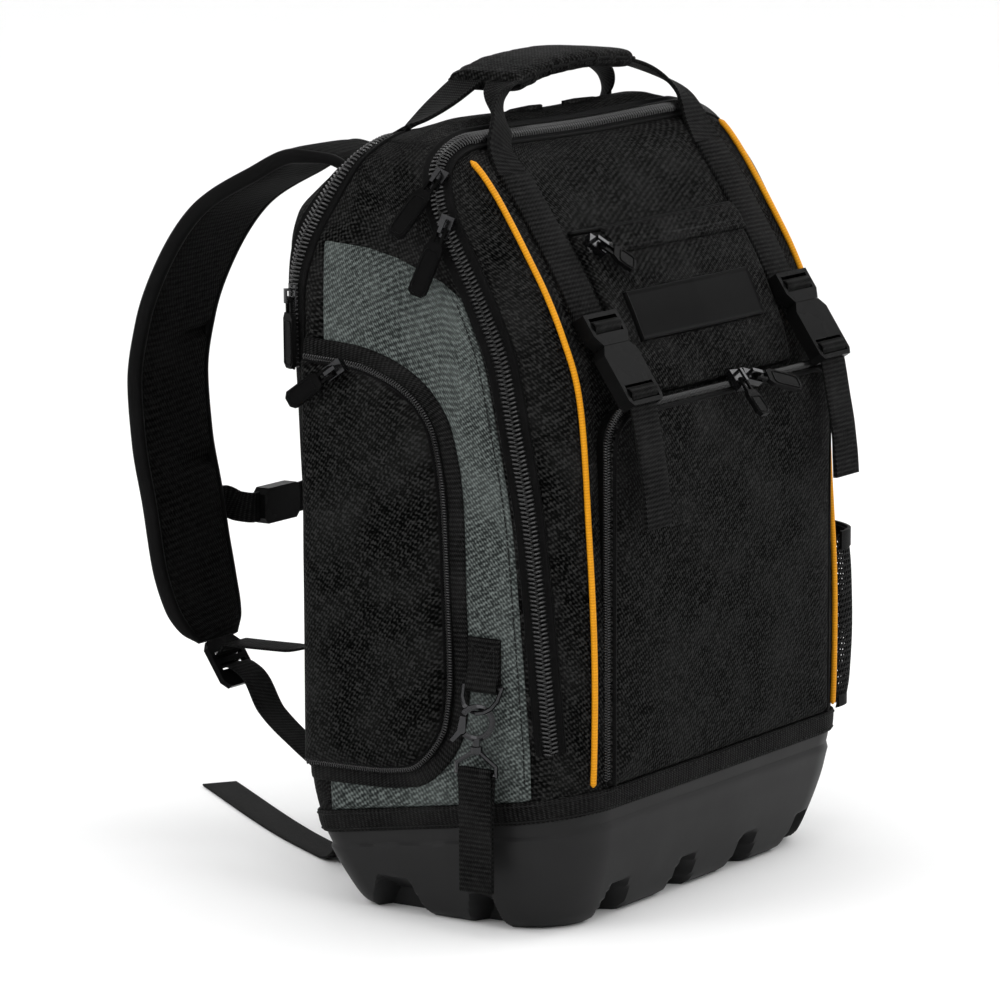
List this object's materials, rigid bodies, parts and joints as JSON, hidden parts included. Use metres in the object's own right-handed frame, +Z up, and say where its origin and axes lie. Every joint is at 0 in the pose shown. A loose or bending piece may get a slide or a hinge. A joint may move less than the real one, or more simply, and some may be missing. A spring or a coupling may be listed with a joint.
{
  "type": "tool backpack",
  "caption": "Soft tool backpack on a moulded waterproof base, with clamshell and laptop zips, outer pockets, grab handle, buckles, side leash and padded shoulder straps.",
  "frame": {"origin": "middle of the moulded base on the floor, under the bag's seams", "axes": "+Z up, -Y out of the bag's front, +Y towards the wearer's back, -X to the bag's side that has the zipped pocket and the leash"},
  "size_m": [0.4218, 0.4832, 0.5324],
  "materials": {
    "cloth": "coarse woven polyester",
    "panel": "slate grey woven polyester",
    "piping": "coated edge piping",
    "webbing": "woven webbing",
    "boot": "fine-grained moulding",
    "plastic": "satin moulding",
    "zip": "moulded coil on woven tape",
    "metal": "black lacquer",
    "mesh": "open mesh",
    "padding": "quilted air mesh over foam"
  },
  "bodies": {
    "bag": {"base_boot": "boot", "boot_binding": "webbing", "main_zip": "zip", "laptop_zip": "zip", "front_shell": "cloth", "rear_shell": "cloth", "body_shell": "cloth", "side_panel_left": "panel", "side_panel_right": "panel", "side_pocket_border": "webbing", "side_pocket": "cloth", "side_pocket_zip": "zip", "front_pocket": "cloth", "front_pocket_zip": "zip", "upper_pocket": "cloth", "badge": "plastic", "front_webbing_left": "webbing", "piping_left": "piping", "front_webbing_right": "webbing", "piping_right": "piping", "handle_front": "webbing", "handle_rear": "webbing", "handle_grip": "webbing", "slider_main_upper": "metal", "slider_main_lower": "metal", "slider_laptop": "metal", "slider_side_pocket": "metal", "slider_front_pocket_left": "metal", "slider_front_pocket_right": "metal", "slider_upper_pocket": "metal", "buckle_plug_left": "plastic", "buckle_socket_left": "plastic", "buckle_tail_left": "webbing", "buckle_plug_right": "plastic", "buckle_socket_right": "plastic", "buckle_tail_right": "webbing", "mesh_pocket": "mesh", "mesh_pocket_hem": "webbing", "back_panel": "padding", "shoulder_pad_left": "padding", "ladder_lock_left": "plastic", "strap_webbing_left": "webbing", "shoulder_pad_right": "padding", "ladder_lock_right": "plastic", "strap_webbing_right": "webbing", "sternum_buckle": "plastic", "sternum_webbing_left": "webbing", "sternum_webbing_right": "webbing", "ring_tab": "webbing", "d_ring": "metal", "snap_hook": "metal", "leash_loop": "webbing"},
    "pull_main_upper": {"pull_main_upper": "plastic"},
    "pull_main_lower": {"pull_main_lower": "plastic"},
    "pull_laptop": {"pull_laptop": "plastic"},
    "pull_side_pocket": {"pull_side_pocket": "plastic"},
    "pull_front_pocket_left": {"pull_front_pocket_left": "plastic"},
    "pull_front_pocket_right": {"pull_front_pocket_right": "plastic"},
    "pull_upper_pocket": {"pull_upper_pocket": "plastic"},
    "hook_lever": {"hook_lever": "metal"}
  },
  "joints": [
    {"name": "pull_main_upper_hinge", "type": "hinge", "parent": "bag", "child": "pull_main_upper", "pos_m": [-0.17317, -0.021, 0.46841], "axis": [-0.0151, 0.9325, 0.361], "range_deg": [0, 110]},
    {"name": "pull_main_lower_hinge", "type": "hinge", "parent": "bag", "child": "pull_main_lower", "pos_m": [-0.18273, -0.03295, 0.44004], "axis": [-0.1488, 0.943, 0.2978], "range_deg": [0, 110]},
    {"name": "pull_laptop_hinge", "type": "hinge", "parent": "bag", "child": "pull_laptop", "pos_m": [-0.18083, 0.0837, 0.38834], "axis": [0.4664, 0.8844, 0.0177], "range_deg": [0, 110]},
    {"name": "pull_side_pocket_hinge", "type": "hinge", "parent": "bag", "child": "pull_side_pocket", "pos_m": [-0.19785, 0.04088, 0.34784], "axis": [0, 0.5708, 0.8211], "range_deg": [0, 110]},
    {"name": "pull_front_pocket_left_hinge", "type": "hinge", "parent": "bag", "child": "pull_front_pocket_left", "pos_m": [0.00983, -0.13103, 0.33099], "axis": [-0.995, 0.0658, 0.0748], "range_deg": [0, 110]},
    {"name": "pull_front_pocket_right_hinge", "type": "hinge", "parent": "bag", "child": "pull_front_pocket_right", "pos_m": [0.02859, -0.13032, 0.3318], "axis": [-0.3587, -0.6167, -0.7008], "range_deg": [0, 110]},
    {"name": "pull_upper_pocket_hinge", "type": "hinge", "parent": "bag", "child": "pull_upper_pocket", "pos_m": [-0.08202, -0.08446, 0.42361], "axis": [-0.6723, -0.3898, -0.6294], "range_deg": [0, 110]},
    {"name": "hook_lever_hinge", "type": "hinge", "parent": "bag", "child": "hook_lever", "pos_m": [-0.19482, -0.05487, 0.13174], "axis": [0.766, 0.6428, 0], "range_deg": [0, 20], "stiffness_Nm_per_rad": 0.05, "springref_deg": -11.46}
  ]
}
